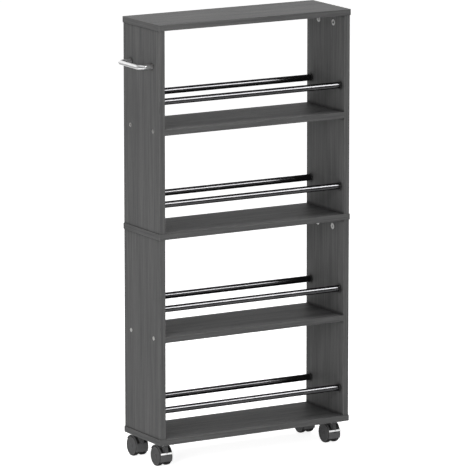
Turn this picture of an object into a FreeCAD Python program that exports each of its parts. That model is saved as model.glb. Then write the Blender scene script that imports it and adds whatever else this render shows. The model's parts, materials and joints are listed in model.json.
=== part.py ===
import FreeCAD, Part

import math
import os

# Rolling pantry cart: a slim open rack of three full boards, two shelves and four side
# panels, with guard rails at the front and back of every level, a bow handle on the left
# and four twin-wheel swivel casters, of which the front two have a brake pedal.
# X runs along the boards, -Y is the front, +Z is up, and the floor is at Z = 0.
# The origin is under the centre of the bounding box. Millimetres.

# ---- carcass ----
BOARD_LENGTH = 540.0
BOARD_DEPTH = 180.0
BOARD_THICK = 15.0
BAY_HEIGHT = 240.0        # clear height of each of the four compartments
CASTER_HEIGHT = 60.0      # floor to the underside of the bottom board
END_OVERHANG = 2.0        # a board stands this far past the panel's outer face
FACE_OVERHANG = 1.0       # and this far past its front and back edges
BOARD_BEVEL = 0.7
PANEL_BEVEL = 0.4

# ---- guard rails ----
RAIL_RADIUS = 8.0
RAIL_WALL = 1.0
RAIL_INSET = 20.0         # rail centre to the panel's front or back edge
SHELF_RAIL_LIFT = 65.0    # rail centre above a shelf
BOARD_RAIL_LIFT = 68.0    # rail centre above the middle and the bottom board
SOCKET_RADIUS = 8.8
SOCKET_FLANGE = 4.0
SPIGOT_RADIUS = 6.9
SPIGOT_LENGTH = 12.0

# ---- handle ----
HANDLE_RADIUS = 5.5
HANDLE_PITCH = 104.0      # between the centres of the two feet
HANDLE_REACH = 34.0       # panel face to the centre line of the grip
HANDLE_BEND = 14.0
HANDLE_DROP = 90.0        # below the underside of the top board

# ---- fastenings ----
SHELF_SCREW_EDGE = 34.0   # board edge to screw
BASE_SCREW_Y = 28.0
MIDDLE_SCREW_Y = 52.0
CAM_Y = 35.0
CAM_DROP = 24.0           # board underside to cam centre
CAM_RADIUS = 7.5
CAM_DEPTH = 12.5
CAM_WELL_RADIUS = 2.8     # the well in the cam's face, which takes the screwdriver's tip
CAM_WELL_DEPTH = 2.8
CAM_CROSS_REACH = 4.4     # the cross around the well: half its length, half its width
CAM_CROSS_HALF = 0.7
CAM_CROSS_DEPTH = 1.5
SCREW_SHANK = 3.5         # confirmat screw: radius in the outer piece
SCREW_THREAD = 2.5        # and in the piece that it pulls in
SCREW_HEAD = 5.0
SCREW_LENGTH = 50.0
DOWEL_RADIUS = 4.0
DOWEL_LENGTH = 28.0
DOWEL_IN_BOARD = 8.0

# ---- casters ----
CASTER_INSET = 29.5       # swivel axis to the board's end and to its edge
TRAIL = 17.0              # swivel axis to axle
WHEEL_RADIUS = 25.0
WHEEL_INNER = 5.75        # caster centre plane to the wheel's inner face
WHEEL_OUTER = 16.75
HUB_RADIUS = 22.8
AXLE_RADIUS = 3.0
RUNNING_FIT = 0.05
PLATE_SIZE = 40.0
PLATE_THICK = 2.0
PLATE_SCREW = 14.0        # plate centre to screw, along X and along Y
STEM_RADIUS = 4.0
NECK_RADIUS = 7.0
HOOD_INNER = 25.8
HOOD_OUTER = 27.8
HOOD_HALF_WIDTH = 16.5
HOOD_FRONT = -25.0        # the hood runs from here, below the front horizontal,
HOOD_BACK = 145.0         # over the top to here, in degrees
WINDOW_LOW = 22.0         # the two windows beside the neck run between these angles,
WINDOW_HIGH = 60.0
WINDOW_INNER_X = 5.0      # and between these distances from the middle
WINDOW_OUTER_X = 14.2
WEB_HALF_WIDTH = 5.25
WEB_RADIUS = 23.0
WEB_BOTTOM = 12.0
PEDAL_ANGLE = 17.5        # direction from the axle to the pedal, above the front horizontal
PEDAL_SPAN = 8.0          # angle that the pedal's bar takes up
PEDAL_INNER = 28.5
PEDAL_OUTER = 30.8
PEDAL_PIVOT = 13.0        # axle to the pedal's pivot
PEDAL_SWING = 8.0         # degrees down from released to locked
NOTCH_DEPTH = 3.2         # the V in the middle of the bar, from its upper edge
NOTCH_HALF_WIDTH = 3.8
SHIELD_HALF_WIDTH = 4.2   # the pointed shield on the neck, whose tip sits in that V
SHIELD_SLOPE = 1.2        # how steeply its point and the V rise sideways
SHIELD_TIP_Z = 35.0
SHIELD_TOP_Z = 51.0
SHIELD_FRONT_Y = -11.4

Vec = FreeCAD.Vector
X_AXIS = Vec(1, 0, 0)
Y_AXIS = Vec(0, 1, 0)
Z_AXIS = Vec(0, 0, 1)

# ---- levels and faces that follow from the driving dimensions ----
PITCH = BAY_HEIGHT + BOARD_THICK
BOTTOM_Z = CASTER_HEIGHT
LOWER_SHELF_Z = BOTTOM_Z + PITCH
MIDDLE_Z = BOTTOM_Z + 2 * PITCH
UPPER_SHELF_Z = BOTTOM_Z + 3 * PITCH
TOP_Z = BOTTOM_Z + 4 * PITCH
PANEL_FACE = BOARD_LENGTH / 2 - END_OVERHANG
PANEL_INSIDE = PANEL_FACE - BOARD_THICK
PANEL_CORE = PANEL_FACE - BOARD_THICK / 2
PANEL_HALF_DEPTH = BOARD_DEPTH / 2 - FACE_OVERHANG
RAIL_Y = PANEL_HALF_DEPTH - RAIL_INSET
SHELF_SCREW_Y = BOARD_DEPTH / 2 - SHELF_SCREW_EDGE
HANDLE_Z = TOP_Z - HANDLE_DROP
PLATE_Z = CASTER_HEIGHT - PLATE_THICK
LEFT = -1
RIGHT = 1

# The handle stands out on the left and the back wheels stand out behind, so the centre of
# the boards lies off the centre of the bounding box.
HANDLE_OUT = PANEL_FACE + HANDLE_REACH + HANDLE_RADIUS
WHEELS_OUT = BOARD_DEPTH / 2 - CASTER_INSET + TRAIL + WHEEL_RADIUS
CENTRE = Vec((HANDLE_OUT - BOARD_LENGTH / 2) / 2, (BOARD_DEPTH / 2 - WHEELS_OUT) / 2, 0)

DOWEL_ROWS = {"top": (-65.0, 65.0), "under_middle": (-68.0, 68.0),
              "over_middle": (-16.0, 16.0), "bottom": (-66.0, 66.0)}


# ---------------------------------------------------------------- plain shapes
def block(x_range, y_range, z_range):
    """A box between two X, two Y and two Z values."""
    size = [high - low for low, high in (x_range, y_range, z_range)]
    corner = Vec(x_range[0], y_range[0], z_range[0])
    return Part.makeBox(size[0], size[1], size[2], corner)


def rod(start, direction, radius, length):
    """A round bar from start along direction."""
    return Part.makeCylinder(radius, length, start, direction)


def bar(radius, x_range, y, z):
    """A round bar along X between two X values."""
    return rod(Vec(x_range[0], y, z), X_AXIS, radius, x_range[1] - x_range[0])


def cone(start, direction, near_radius, far_radius, length):
    """A tapered round bar from start along direction."""
    return Part.makeCone(near_radius, far_radius, length, start, direction)


def fuse(shapes):
    """The shapes as one solid."""
    return shapes[0].multiFuse(shapes[1:]).removeSplitter()


def cut(shape, tools):
    """The shape with every tool taken out of it."""
    return shape.cut(Part.makeCompound(tools))


def bevelled(solid, size, keep):
    """The solid with a bevel on each edge for which keep(edge) is true."""
    return solid.makeChamfer(size, [edge for edge in solid.Edges if keep(edge)])


def save(name, shape):
    """Write one node, moved so that the origin is under the bounding box's centre."""
    shape.translated(CENTRE).exportStep("parts/" + name + ".step")


def save_group(name, solids):
    """Write identical loose pieces as one node of separate solids."""
    save(name, Part.makeCompound(solids))


# ---------------------------------------------------------------- where the fastenings are
def confirmat(start, direction):
    """A countersunk carcass screw that starts at a face and runs along direction."""
    shank_end = start + direction * BOARD_THICK
    head = cone(start, direction, SCREW_HEAD, SCREW_SHANK, 3.0)
    shank = rod(start, direction, SCREW_SHANK, BOARD_THICK)
    thread = rod(shank_end, direction, SCREW_THREAD, SCREW_LENGTH - BOARD_THICK)
    return fuse([head, shank, thread])


def with_hex_recess(screw, start, direction):
    """The screw with a 4 mm hexagon socket in its head."""
    corners = []
    across = Y_AXIS if abs(direction.x) > 0.5 else X_AXIS
    other = direction.cross(across)
    for i in range(7):
        angle = math.radians(60 * i)
        corners.append(start + across * (2.3 * math.cos(angle)) + other * (2.3 * math.sin(angle)))
    socket = Part.Face(Part.makePolygon(corners)).extrude(direction * 2.5)
    return screw.cut(socket)


def shelf_screw_places():
    """Start and direction of the screws through the panels into the two shelves."""
    places = []
    for side in (LEFT, RIGHT):
        for level in (LOWER_SHELF_Z, UPPER_SHELF_Z):
            for y in (-SHELF_SCREW_Y, SHELF_SCREW_Y):
                start = Vec(side * PANEL_FACE, y, level + BOARD_THICK / 2)
                places.append((start, X_AXIS * -side))
    return places


def upright_screw_places(board_z, y):
    """Start and direction of the screws up through a board into the panels on it."""
    return [(Vec(side * PANEL_CORE, row * y, board_z), Z_AXIS)
            for side in (LEFT, RIGHT) for row in (-1, 1)]


def cam_places(board_z):
    """Side, row and height of the cam locks below a board."""
    return [(side, row * CAM_Y, board_z - CAM_DROP) for side in (LEFT, RIGHT) for row in (-1, 1)]


def cam_pocket(side, y, z):
    """The blind round pocket on a panel's inner face that takes a cam lock."""
    start = Vec(side * PANEL_INSIDE, y, z)
    return rod(start, X_AXIS * side, CAM_RADIUS, CAM_DEPTH)


def cam_channel(side, y, z):
    """The bore from a panel's top end down to the cam, which takes the cam bolt."""
    return rod(Vec(side * PANEL_CORE, y, z), Z_AXIS, SCREW_SHANK, CAM_DROP)


def cam_lock(side, y, z):
    """A cast cam: a drum with a well and a cross in its face, open above for the bolt."""
    drum = cam_pocket(side, y, z)
    opening = rod(Vec(side * PANEL_CORE, y, z - 3.5), Z_AXIS, SCREW_SHANK, CAM_RADIUS + 5)
    face = side * PANEL_INSIDE
    well = rod(Vec(face, y, z), X_AXIS * side, CAM_WELL_RADIUS, CAM_WELL_DEPTH)
    recess_x = sorted((face, face + side * CAM_CROSS_DEPTH))
    long, thin = CAM_CROSS_REACH, CAM_CROSS_HALF
    flat_bar = block(recess_x, (y - long, y + long), (z - thin, z + thin))
    upright_bar = block(recess_x, (y - thin, y + thin), (z - long, z + long))
    return cut(drum, [opening, well, flat_bar, upright_bar])


def cam_bolt(side, y, z):
    """A cam bolt: a thread in the board above, a neck, and a head inside the cam."""
    axis = Vec(side * PANEL_CORE, y, z)
    head = rod(axis - Z_AXIS * 3.0, Z_AXIS, 3.2, 3.0)
    neck = rod(axis, Z_AXIS, 1.8, 6.0)
    shaft = rod(axis + Z_AXIS * 6.0, Z_AXIS, 3.2, CAM_DROP - 6.0)
    thread = rod(axis + Z_AXIS * CAM_DROP, Z_AXIS, SCREW_THREAD, 10.0)
    return fuse([head, neck, shaft, thread])


def dowel(middle_face, direction):
    """A fluteless beech dowel: the short end in the board, the long end in the panel."""
    start = middle_face - direction * DOWEL_IN_BOARD
    pin = rod(start, direction, DOWEL_RADIUS, DOWEL_LENGTH)
    return pin.makeChamfer(0.8, [edge for edge in pin.Edges if len(edge.Vertexes) == 1])


def dowel_places():
    """Every dowel: the point where it crosses the joint, and the way its long end points."""
    ends = (("top", TOP_Z, -Z_AXIS), ("under_middle", MIDDLE_Z, -Z_AXIS),
            ("over_middle", MIDDLE_Z + BOARD_THICK, Z_AXIS),
            ("bottom", BOTTOM_Z + BOARD_THICK, Z_AXIS))
    places = []
    for side in (LEFT, RIGHT):
        for row, level, direction in ends:
            places += [(Vec(side * PANEL_CORE, y, level), direction) for y in DOWEL_ROWS[row]]
        for level in (LOWER_SHELF_Z, UPPER_SHELF_Z):
            middle = Vec(side * PANEL_INSIDE, 0, level + BOARD_THICK / 2)
            places.append((middle, X_AXIS * -side))
    return places


def rail_levels():
    """Height of each level's rail centre line, by the name of the level."""
    return {"upper_shelf": UPPER_SHELF_Z + BOARD_THICK + SHELF_RAIL_LIFT,
            "middle_board": MIDDLE_Z + BOARD_THICK + BOARD_RAIL_LIFT,
            "lower_shelf": LOWER_SHELF_Z + BOARD_THICK + SHELF_RAIL_LIFT,
            "bottom_board": BOTTOM_Z + BOARD_THICK + BOARD_RAIL_LIFT}


def rail_end_places():
    """The panel's side, and the centre, of every rail end on a panel's inner face."""
    return [(side, Vec(side * PANEL_INSIDE, row * RAIL_Y, z))
            for z in rail_levels().values() for row in (-1, 1) for side in (LEFT, RIGHT)]


def socket_screw(side, centre):
    """The wood screw that holds a rail socket to the panel; its head is in the spigot."""
    outward = X_AXIS * side
    head_base = centre - outward * 4.0
    head = cone(head_base, outward, 3.6, 1.75, 2.0)
    shank = rod(head_base, outward, 1.75, 13.0)
    point = cone(head_base + outward * 13.0, outward, 1.75, 0.4, 2.5)
    return fuse([head, shank, point])


def plate_screw(x, y):
    """A pan-head wood screw up through a caster plate into the bottom board."""
    under = Vec(x, y, PLATE_Z)
    head = rod(under - Z_AXIS * 2.0, Z_AXIS, 3.5, 2.0)
    head = head.makeFillet(1.1, [edge for edge in head.Edges
                                 if len(edge.Vertexes) == 1 and edge.CenterOfMass.z < PLATE_Z - 1])
    shank = rod(under, Z_AXIS, 1.75, 11.0)
    point = cone(under + Z_AXIS * 11.0, Z_AXIS, 1.75, 0.4, 2.5)
    slot_z = (PLATE_Z - 2.5, PLATE_Z - 0.9)
    recess = [block((x - 1.9, x + 1.9), (y - 0.4, y + 0.4), slot_z),
              block((x - 0.4, x + 0.4), (y - 1.9, y + 1.9), slot_z)]
    return cut(fuse([head, shank, point]), recess)


def handle_screw(y):
    """A truss-head machine screw through the left panel into a handle foot."""
    inner = Vec(LEFT * PANEL_INSIDE, y, HANDLE_Z)
    head = rod(inner + X_AXIS * 2.2, -X_AXIS, 4.5, 2.2)
    head = head.makeFillet(1.2, [edge for edge in head.Edges
                                 if len(edge.Vertexes) == 1 and edge.CenterOfMass.x > inner.x + 1])
    shank = rod(inner, -X_AXIS, 2.0, BOARD_THICK + 9.0)
    return fuse([head, shank])


def handle_feet():
    return (-HANDLE_PITCH / 2, HANDLE_PITCH / 2)


def caster_stations():
    """Name, X and Y of each caster's swivel axis."""
    x = BOARD_LENGTH / 2 - CASTER_INSET
    y = BOARD_DEPTH / 2 - CASTER_INSET
    return (("front_left", -x, -y), ("front_right", x, -y),
            ("back_left", -x, y), ("back_right", x, y))


def plate_screw_places():
    """X and Y of the four screws of every caster plate."""
    return [(x + i * PLATE_SCREW, y + j * PLATE_SCREW)
            for name, x, y in caster_stations() for i in (-1, 1) for j in (-1, 1)]


# ---------------------------------------------------------------- boards, shelves and panels
def all_wood_fastenings():
    """Everything that is sunk in the wood, as tools that cut its own seat."""
    tools = [confirmat(start, way) for start, way in shelf_screw_places()]
    tools += [confirmat(start, way) for start, way in upright_screw_places(BOTTOM_Z, BASE_SCREW_Y)]
    tools += [confirmat(start, way) for start, way in upright_screw_places(MIDDLE_Z, MIDDLE_SCREW_Y)]
    for side, y, z in cam_places(TOP_Z) + cam_places(MIDDLE_Z):
        tools += [cam_pocket(side, y, z), cam_channel(side, y, z), cam_bolt(side, y, z)]
    tools += [dowel(middle, way) for middle, way in dowel_places()]
    tools += [socket_screw(side, centre) for side, centre in rail_end_places()]
    tools += [handle_screw(y) for y in handle_feet()]
    tools += [plate_screw(x, y) for x, y in plate_screw_places()]
    return tools


def drilled(wood, tools):
    """The piece of wood with the seats of those fastenings that reach into it."""
    reaching = [tool for tool in tools if wood.BoundBox.intersect(tool.BoundBox)]
    return cut(wood, reaching)


def full_board(z):
    """One of the three boards that cap the panels, with a small bevel all round."""
    slab = block((-BOARD_LENGTH / 2, BOARD_LENGTH / 2), (-BOARD_DEPTH / 2, BOARD_DEPTH / 2),
                 (z, z + BOARD_THICK))
    return bevelled(slab, BOARD_BEVEL, lambda edge: True)


def shelf(z):
    """A shelf between two panels, bevelled along its front and back."""
    slab = block((-PANEL_INSIDE, PANEL_INSIDE), (-PANEL_HALF_DEPTH, PANEL_HALF_DEPTH),
                 (z, z + BOARD_THICK))
    return bevelled(slab, PANEL_BEVEL, lambda edge: edge.Length > BOARD_LENGTH / 2)


def panel(side, z):
    """A side panel that stands on the board below it, bevelled along its upright edges."""
    x_range = sorted((side * PANEL_INSIDE, side * PANEL_FACE))
    height = 2 * PITCH - BOARD_THICK
    slab = block(x_range, (-PANEL_HALF_DEPTH, PANEL_HALF_DEPTH), (z, z + height))
    return bevelled(slab, PANEL_BEVEL, lambda edge: edge.Length > height - 1)


def wooden_parts():
    """Every board, shelf and panel, drilled, by its name."""
    tools = all_wood_fastenings()
    plain = {"top_board": full_board(TOP_Z), "middle_board": full_board(MIDDLE_Z),
             "bottom_board": full_board(BOTTOM_Z), "upper_shelf": shelf(UPPER_SHELF_Z),
             "lower_shelf": shelf(LOWER_SHELF_Z),
             "upper_left_panel": panel(LEFT, MIDDLE_Z + BOARD_THICK),
             "upper_right_panel": panel(RIGHT, MIDDLE_Z + BOARD_THICK),
             "lower_left_panel": panel(LEFT, BOTTOM_Z + BOARD_THICK),
             "lower_right_panel": panel(RIGHT, BOTTOM_Z + BOARD_THICK)}
    return {name: drilled(wood, tools) for name, wood in plain.items()}


# ---------------------------------------------------------------- rails and handle
def rail(y, z):
    """A thin steel tube between the flanges of two sockets."""
    end = PANEL_INSIDE - SOCKET_FLANGE
    outer = bar(RAIL_RADIUS, (-end, end), y, z)
    return outer.cut(bar(RAIL_RADIUS - RAIL_WALL, (-end, end), y, z))


def rail_socket(side, centre):
    """A moulded flange on the panel with a spigot that fits in the rail's end."""
    inward = X_AXIS * -side
    flange = rod(centre, inward, SOCKET_RADIUS, SOCKET_FLANGE)
    flange = flange.makeFillet(0.8, [edge for edge in flange.Edges if len(edge.Vertexes) == 1
                                     and (edge.CenterOfMass - centre).Length > SOCKET_FLANGE / 2])
    spigot = rod(centre, inward, SPIGOT_RADIUS, SPIGOT_LENGTH)
    head_bore = rod(centre + inward * 4.0, inward, 4.2, SPIGOT_LENGTH)
    return cut(fuse([flange, spigot]), [head_bore, socket_screw(side, centre)])


def handle():
    """A bow handle bent from one rod, with a tapped hole in each foot."""
    face = LEFT * PANEL_FACE
    grip = face - HANDLE_REACH
    near, far = handle_feet()
    bend = HANDLE_BEND
    slack = bend * (1 - math.cos(math.radians(45)))
    points = [Vec(face, near, HANDLE_Z), Vec(grip + bend, near, HANDLE_Z),
              Vec(grip + slack, near + slack, HANDLE_Z), Vec(grip, near + bend, HANDLE_Z),
              Vec(grip, far - bend, HANDLE_Z), Vec(grip + slack, far - slack, HANDLE_Z),
              Vec(grip + bend, far, HANDLE_Z), Vec(face, far, HANDLE_Z)]
    path = Part.Wire([Part.LineSegment(points[0], points[1]).toShape(),
                      Part.Arc(points[1], points[2], points[3]).toShape(),
                      Part.LineSegment(points[3], points[4]).toShape(),
                      Part.Arc(points[4], points[5], points[6]).toShape(),
                      Part.LineSegment(points[6], points[7]).toShape()])
    section = Part.Wire(Part.makeCircle(HANDLE_RADIUS, points[0], X_AXIS))
    bow = path.makePipeShell([section], True, True)
    return cut(bow, [handle_screw(y) for y in handle_feet()])


# ---------------------------------------------------------------- casters
# Each caster is drawn with its swivel axis on the Z axis and its wheels trailing towards +Y.
AXLE = Vec(0, TRAIL, WHEEL_RADIUS)


def around_axle(angle, radius):
    """A point about the axle; the angle runs from the front, up and over to the back."""
    turn = math.radians(angle)
    return AXLE + Vec(0, -radius * math.cos(turn), radius * math.sin(turn))


def hoop(inner, outer, half_width, start, end):
    """Part of a ring about the axle, from one angle to another."""
    corners = [around_axle(start, inner) + X_AXIS * -half_width,
               around_axle(start, outer) + X_AXIS * -half_width,
               around_axle(start, outer) + X_AXIS * half_width,
               around_axle(start, inner) + X_AXIS * half_width]
    face = Part.Face(Part.makePolygon(corners + corners[:1]))
    return face.revolve(AXLE, -X_AXIS, end - start)


def rounded(solid, curve_radius, fillet):
    """The solid with a fillet on its round edges of one radius."""
    edges = [edge for edge in solid.Edges
             if hasattr(edge.Curve, "Radius") and abs(edge.Curve.Radius - curve_radius) < 0.01]
    return solid.makeFillet(fillet, edges)


def caster_plate():
    """A square steel plate with rounded corners and a boss that the caster turns under."""
    half = PLATE_SIZE / 2
    plate = block((-half, half), (-half, half), (PLATE_Z, CASTER_HEIGHT))
    corners = [edge for edge in plate.Edges if abs(edge.tangentAt(0).z) > 0.9]
    plate = plate.makeFillet(4.0, corners)
    boss = rod(Vec(0, 0, PLATE_Z - 1.2), Z_AXIS, 8.5, 1.2)
    screws = [plate_screw(i * PLATE_SCREW, j * PLATE_SCREW) for i in (-1, 1) for j in (-1, 1)]
    return cut(fuse([plate, boss]), screws + [caster_stem()])


def caster_stem():
    """The steel pin riveted into the plate, on which the caster swivels."""
    head = cone(Vec(0, 0, CASTER_HEIGHT), -Z_AXIS, STEM_RADIUS + 1.6, STEM_RADIUS, 1.6)
    pin = rod(Vec(0, 0, 37.0), Z_AXIS, STEM_RADIUS, CASTER_HEIGHT - 37.0)
    tip = cone(Vec(0, 0, 37.0), -Z_AXIS, STEM_RADIUS, STEM_RADIUS - 1, 1.0)
    return fuse([head, pin, tip])


def pedal_direction(angle):
    """Unit vectors along and square to the pedal's tongue, at an angle above the front."""
    turn = math.radians(angle)
    return Vec(0, -math.cos(turn), math.sin(turn)), Vec(0, math.sin(turn), math.cos(turn))


def pedal_slot(pivot):
    """The space in the body that the pedal's tongue and pivot move in."""
    half_width = 2.8
    margin = 2.3
    reach = 20.0
    up_along, up_square = pedal_direction(PEDAL_ANGLE)
    down_along, down_square = pedal_direction(PEDAL_ANGLE - PEDAL_SWING)
    shift = X_AXIS * -half_width
    corners = [pivot + up_square * margin, pivot + up_along * reach + up_square * margin,
               pivot + down_along * reach - down_square * margin, pivot - down_square * margin]
    corners = [corner + shift for corner in corners]
    wedge = Part.Face(Part.makePolygon(corners + corners[:1])).extrude(X_AXIS * 2 * half_width)
    eye = bar(3.6, (-half_width, half_width), pivot.y, pivot.z)
    trunnion = bar(2.0 + RUNNING_FIT, (-4.4, 4.4), pivot.y, pivot.z)
    return [wedge, eye, trunnion]


def neck_shield():
    """The pointed shield on the front of the neck, which leans back from tip to shoulder."""
    half = SHIELD_HALF_WIDTH
    outline = [Vec(0, 0, SHIELD_TIP_Z), Vec(half, 0, SHIELD_TIP_Z + half * SHIELD_SLOPE),
               Vec(half, 0, SHIELD_TOP_Z), Vec(-half, 0, SHIELD_TOP_Z),
               Vec(-half, 0, SHIELD_TIP_Z + half * SHIELD_SLOPE)]
    prism = Part.Face(Part.makePolygon(outline + outline[:1])).extrude(Vec(0, -20, 0))
    lean = [Vec(-10, SHIELD_FRONT_Y, SHIELD_TIP_Z), Vec(-10, -NECK_RADIUS - 1, SHIELD_TOP_Z),
            Vec(-10, 0, SHIELD_TOP_Z), Vec(-10, 0, SHIELD_TIP_Z)]
    return prism.common(Part.Face(Part.makePolygon(lean + lean[:1])).extrude(X_AXIS * 20))


def hood_windows():
    """The two openings in the hood's front, through which the tops of the wheels show."""
    across = hoop(HOOD_INNER - 1, HOOD_OUTER + 1, WINDOW_OUTER_X, WINDOW_LOW, WINDOW_HIGH)
    return across.cut(block((-WINDOW_INNER_X, WINDOW_INNER_X), (-20, 20), (0, 60)))


def caster_body(braked):
    """The moulded body: a hood over both wheels, a web between them and a swivel neck."""
    hood = hoop(HOOD_INNER, HOOD_OUTER, HOOD_HALF_WIDTH, HOOD_FRONT, HOOD_BACK)
    hood = rounded(hood, HOOD_OUTER, 1.4).cut(hood_windows())
    rib = hoop(WEB_RADIUS - 1, HOOD_OUTER - 1, WEB_HALF_WIDTH, HOOD_FRONT, HOOD_BACK)
    web = bar(WEB_RADIUS, (-WEB_HALF_WIDTH, WEB_HALF_WIDTH), AXLE.y, AXLE.z)
    web = web.cut(block((-20, 20), (-20, 60), (-5, WEB_BOTTOM)))
    neck = rod(Vec(0, 0, 30.0), Z_AXIS, NECK_RADIUS, PLATE_Z - 1.5 - 30.0)
    wheel_room = [bar(HOOD_INNER, x_range, AXLE.y, AXLE.z)
                  for x_range in ((-20, -WEB_HALF_WIDTH), (WEB_HALF_WIDTH, 20))]
    body = fuse([hood, rib, web, cut(neck, wheel_room), neck_shield()])
    bores = [rod(Vec(0, 0, 35.5), Z_AXIS, STEM_RADIUS + RUNNING_FIT, 30.0),
             bar(AXLE_RADIUS, (-20, 20), AXLE.y, AXLE.z)]
    if braked:
        bores += pedal_slot(around_axle(PEDAL_ANGLE, PEDAL_PIVOT))
    return cut(body, bores)


def brake_pedal():
    """A bar across the hood on a tongue that turns on two stub pins inside the web."""
    pivot = around_axle(PEDAL_ANGLE, PEDAL_PIVOT)
    half_span = PEDAL_SPAN / 2
    grip = hoop(PEDAL_INNER, PEDAL_OUTER, HOOD_HALF_WIDTH,
                PEDAL_ANGLE - half_span, PEDAL_ANGLE + half_span)
    along, square = pedal_direction(PEDAL_ANGLE)
    crown = around_axle(PEDAL_ANGLE + half_span, PEDAL_OUTER)
    rise = NOTCH_HALF_WIDTH * SHIELD_SLOPE - NOTCH_DEPTH
    notch_points = [crown - X_AXIS * NOTCH_HALF_WIDTH + square * rise,
                    crown - square * NOTCH_DEPTH,
                    crown + X_AXIS * NOTCH_HALF_WIDTH + square * rise]
    notch_face = Part.Face(Part.makePolygon(notch_points + notch_points[:1]))
    notch = notch_face.translated(along * 2).extrude(along * -5.5)
    half_thick = 2.0
    half_width = 2.5
    side = X_AXIS * -half_width
    reach = PEDAL_INNER + 1 - PEDAL_PIVOT
    corners = [pivot + square * half_thick + side,
               pivot + along * reach + square * half_thick + side,
               pivot + along * reach - square * half_thick + side,
               pivot - square * half_thick + side]
    tongue = Part.Face(Part.makePolygon(corners + corners[:1])).extrude(X_AXIS * 2 * half_width)
    eye = bar(3.2, (-half_width, half_width), pivot.y, pivot.z)
    pins = bar(2.0, (-4.2, 4.2), pivot.y, pivot.z)
    return fuse([grip, tongue, eye, pins]).cut(notch)


def caster_axle():
    """The steel pin that both wheels turn on."""
    pin = bar(AXLE_RADIUS, (-14.0, 14.0), AXLE.y, AXLE.z)
    return pin.makeChamfer(0.5, [edge for edge in pin.Edges if len(edge.Vertexes) == 1])


def turned(profile, side):
    """A solid of revolution about the axle, from (distance from centre plane, radius)."""
    points = [AXLE + Vec(side * x, 0, radius) for x, radius in profile]
    face = Part.Face(Part.makePolygon(points + points[:1]))
    return face.revolve(AXLE, X_AXIS, 360)


def wheel_hub(side):
    """A wheel's moulded core, dished on its outer face, with a blind bore for the axle."""
    bore = AXLE_RADIUS + RUNNING_FIT
    bore_end = WHEEL_OUTER - 2.4
    rim = HUB_RADIUS - 2.0
    profile = [(WHEEL_INNER, bore), (WHEEL_INNER, 7.0), (8.0, 7.0), (8.0, rim),
               (WHEEL_INNER + 0.5, rim), (WHEEL_INNER + 0.5, HUB_RADIUS),
               (WHEEL_OUTER - 0.4, HUB_RADIUS), (WHEEL_OUTER, HUB_RADIUS - 0.4),
               (WHEEL_OUTER, rim), (WHEEL_OUTER - 0.8, rim - 1.2), (WHEEL_OUTER - 0.8, 6.0),
               (WHEEL_OUTER - 0.2, 5.0), (WHEEL_OUTER - 0.2, 0), (bore_end, 0),
               (bore_end, bore)]
    return turned(profile, side)


def wheel_tyre(side):
    """The soft tread ring moulded round a wheel's core."""
    inner = WHEEL_INNER + 0.25
    outer = WHEEL_OUTER - 0.25
    ring = turned([(inner, HUB_RADIUS), (inner, WHEEL_RADIUS),
                   (outer, WHEEL_RADIUS), (outer, HUB_RADIUS)], side)
    return rounded(ring, WHEEL_RADIUS, 1.6)


def save_casters():
    stems = []
    for name, x, y in caster_stations():
        braked = name.startswith("front")
        pieces = {"plate": caster_plate(), "body": caster_body(braked), "axle": caster_axle(),
                  "left_hub": wheel_hub(LEFT), "left_tyre": wheel_tyre(LEFT),
                  "right_hub": wheel_hub(RIGHT), "right_tyre": wheel_tyre(RIGHT)}
        if braked:
            pieces["brake_pedal"] = brake_pedal()
        for piece, shape in pieces.items():
            save(name + "_" + piece, shape.translated(Vec(x, y, 0)))
        stems.append(caster_stem().translated(Vec(x, y, 0)))
    save_group("caster_stems", stems)
    save_group("caster_plate_screws", [plate_screw(x, y) for x, y in plate_screw_places()])


def save_carcass():
    for name, wood in wooden_parts().items():
        save(name, wood)
    save_group("shelf_screws", [with_hex_recess(confirmat(start, way), start, way)
                                for start, way in shelf_screw_places()])
    save_group("base_screws", [with_hex_recess(confirmat(start, way), start, way)
                               for start, way in upright_screw_places(BOTTOM_Z, BASE_SCREW_Y)])
    save_group("middle_screws", [with_hex_recess(confirmat(start, way), start, way)
                                 for start, way in upright_screw_places(MIDDLE_Z, MIDDLE_SCREW_Y)])
    cams = cam_places(TOP_Z) + cam_places(MIDDLE_Z)
    save_group("cam_locks", [cam_lock(side, y, z) for side, y, z in cams])
    save_group("cam_bolts", [cam_bolt(side, y, z) for side, y, z in cams])
    save_group("wood_dowels", [dowel(middle, way) for middle, way in dowel_places()])


def save_rails_and_handle():
    for level, z in rail_levels().items():
        save(level + "_front_rail", rail(-RAIL_Y, z))
        save(level + "_back_rail", rail(RAIL_Y, z))
    save_group("rail_sockets", [rail_socket(side, centre) for side, centre in rail_end_places()])
    save_group("rail_socket_screws", [socket_screw(side, centre)
                                      for side, centre in rail_end_places()])
    save("handle", handle())
    save_group("handle_screws", [handle_screw(y) for y in handle_feet()])


os.makedirs("parts", exist_ok=True)
save_carcass()
save_rails_and_handle()
save_casters()
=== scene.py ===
# %% [markdown]
# # A slim rolling pantry cart
#
# The cart is a flat-pack carcass of dark wood-grain board on four twin-wheel casters. The
# boards, tubes, screws and casters come from the CAD frame with their true size and place.
# This lesson gives each of them its finish, adds the small moulded and turned details that
# are easier to grow in Blender than to draw in CAD, and sets up a plain white studio.

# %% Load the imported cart
import json
import math

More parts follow.
